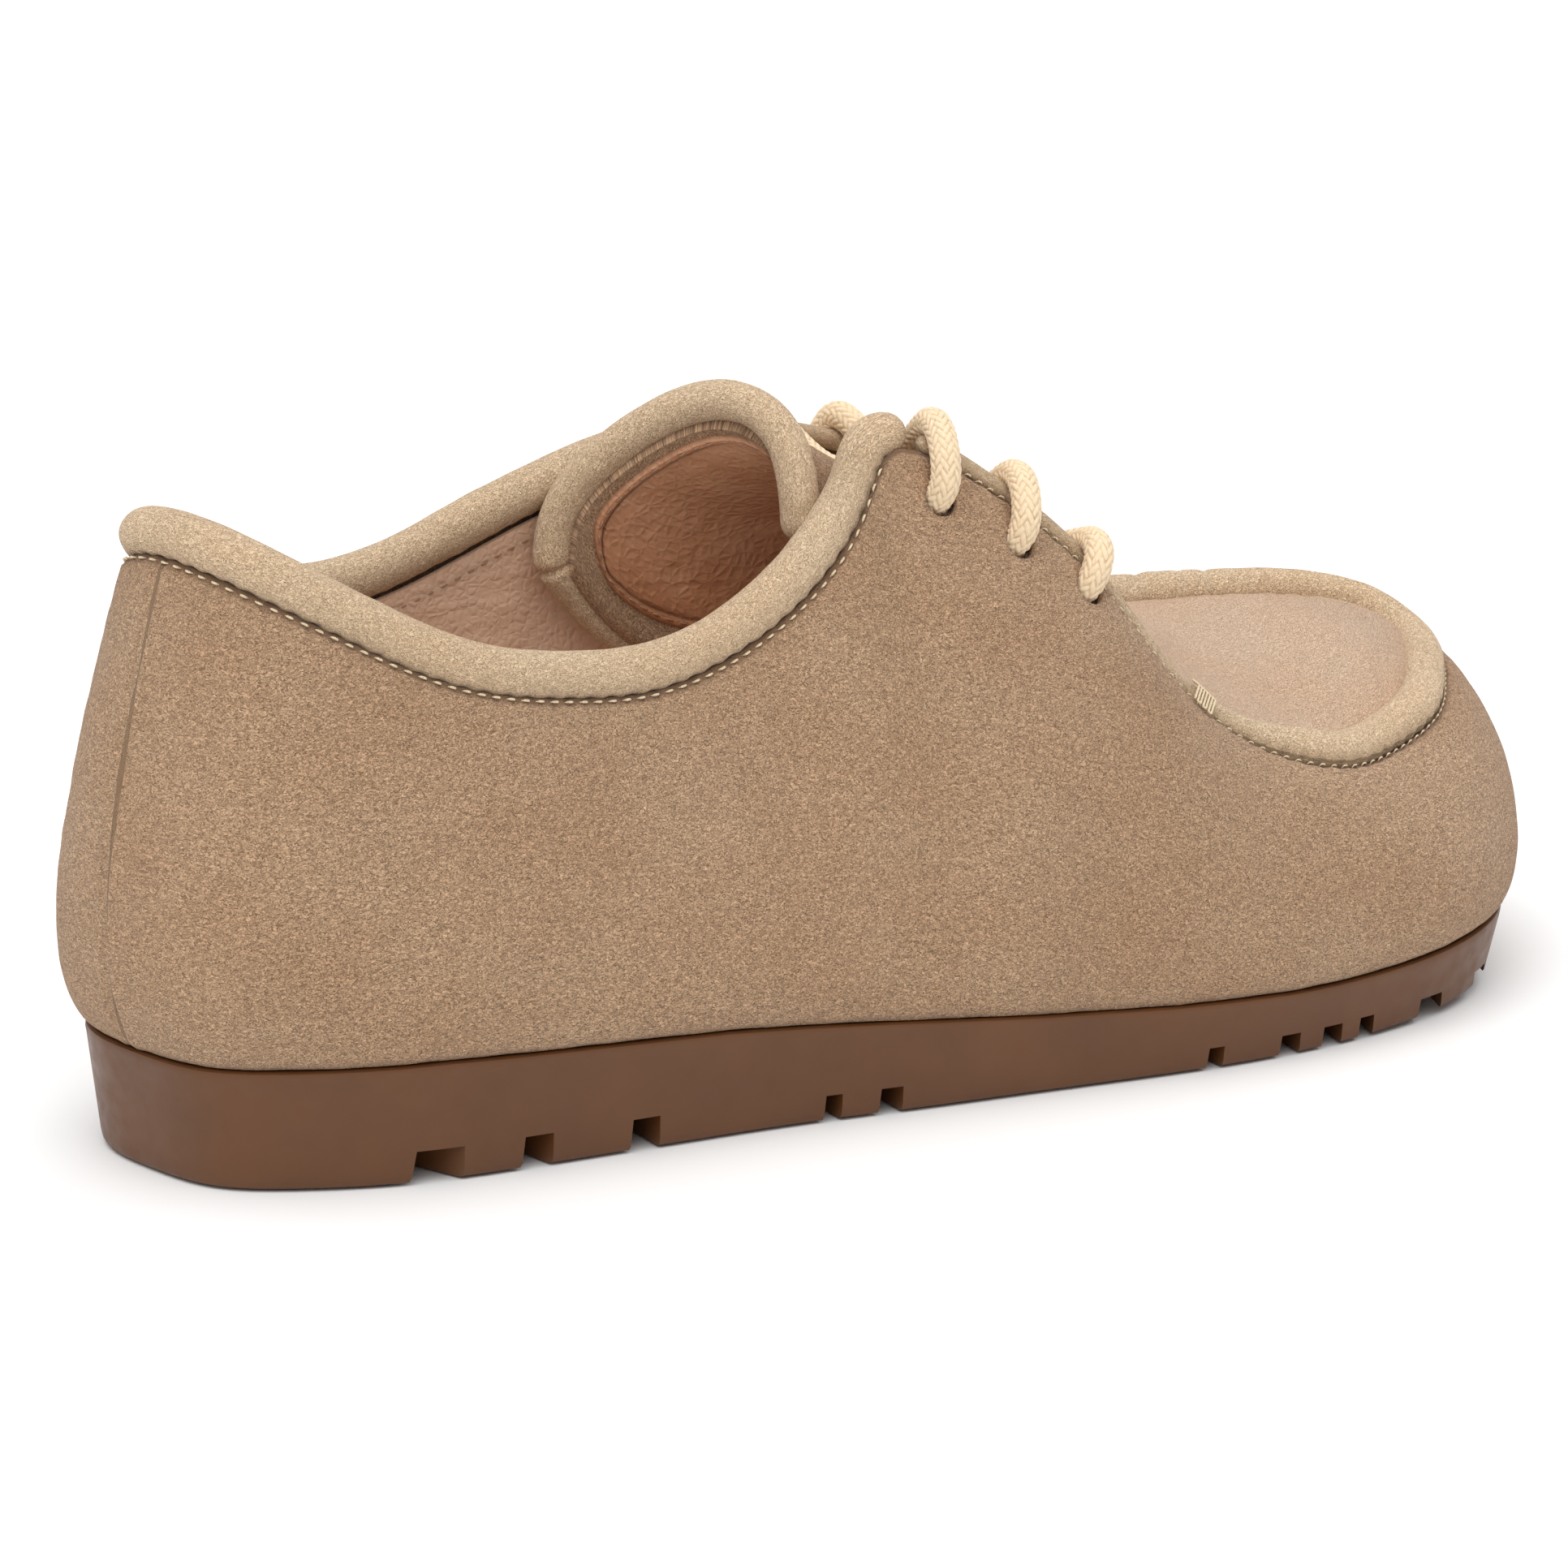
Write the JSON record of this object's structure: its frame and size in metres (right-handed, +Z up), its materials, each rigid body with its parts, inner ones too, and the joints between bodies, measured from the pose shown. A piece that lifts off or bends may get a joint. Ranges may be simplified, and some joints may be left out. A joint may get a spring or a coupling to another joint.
{
  "type": "moccasin",
  "caption": "Low suede lace-up moccasin shoe for the right foot, with a piped moc toe, a padded collar roll, a corded tongue edge and a thin grooved rubber sole.",
  "frame": {"origin": "bottom centre of the shoe's box, on the ground under the middle of the sole", "axes": "+X to the toe, +Y to the wearer's left, which is the inner side of this right shoe, +Z up"},
  "size_m": [0.2692, 0.0944, 0.1136],
  "materials": {
    "gum_rubber": "satin moulded gum rubber",
    "filler_cork": "bound cork",
    "shank_steel": "plain spring steel",
    "board_fibre": "pressed fibre board",
    "footbed_foam": "moulded foam",
    "sock_leather": "smooth matt leather",
    "heel_pad_gel": "soft pad",
    "suede_tan": "brushed suede nap",
    "stiffener_board": "thermoformed stiffener",
    "facing_tape": "woven tape",
    "lining_leather": "smooth matt leather",
    "vamp_cloth": "woven lining cloth",
    "roll_suede": "brushed suede nap",
    "roll_cord": "twisted filler cord",
    "apron_suede": "brushed suede nap",
    "apron_cloth": "woven lining cloth",
    "tongue_suede": "brushed suede nap",
    "tongue_foam": "soft foam wadding",
    "tongue_leather": "creased matt leather",
    "tongue_roll_suede": "brushed suede nap",
    "tongue_roll_cord": "twisted filler cord",
    "lace_braid": "round herringbone braid",
    "aglet_resin": "smooth resin tip"
  },
  "bodies": {
    "shoe": {"outsole": "gum_rubber", "midsole_filler": "filler_cork", "shank": "shank_steel", "insole_board": "board_fibre", "footbed": "footbed_foam", "sock_lining": "sock_leather", "heel_pad": "heel_pad_gel", "wrap_upper": "suede_tan", "heel_counter": "stiffener_board", "toe_puff": "stiffener_board", "outer_facing_tape": "facing_tape", "inner_facing_tape": "facing_tape", "quarter_lining": "lining_leather", "vamp_lining": "vamp_cloth", "collar_piping": "roll_suede", "collar_cord": "roll_cord", "apron_piping": "roll_suede", "apron_cord": "roll_cord", "apron": "apron_suede", "apron_lining": "apron_cloth", "lace": "lace_braid", "outer_aglet": "aglet_resin", "inner_aglet": "aglet_resin"},
    "tongue": {"tongue_outer": "tongue_suede", "tongue_padding": "tongue_foam", "tongue_lining": "tongue_leather", "tongue_piping": "tongue_roll_suede", "tongue_cord": "tongue_roll_cord"}
  },
  "joints": [
    {"name": "tongue_hinge", "type": "hinge", "parent": "shoe", "child": "tongue", "pos_m": [0.0586, 0.0023, 0.057], "axis": [0, 1, 0], "range_deg": [-8, 0]}
  ]
}
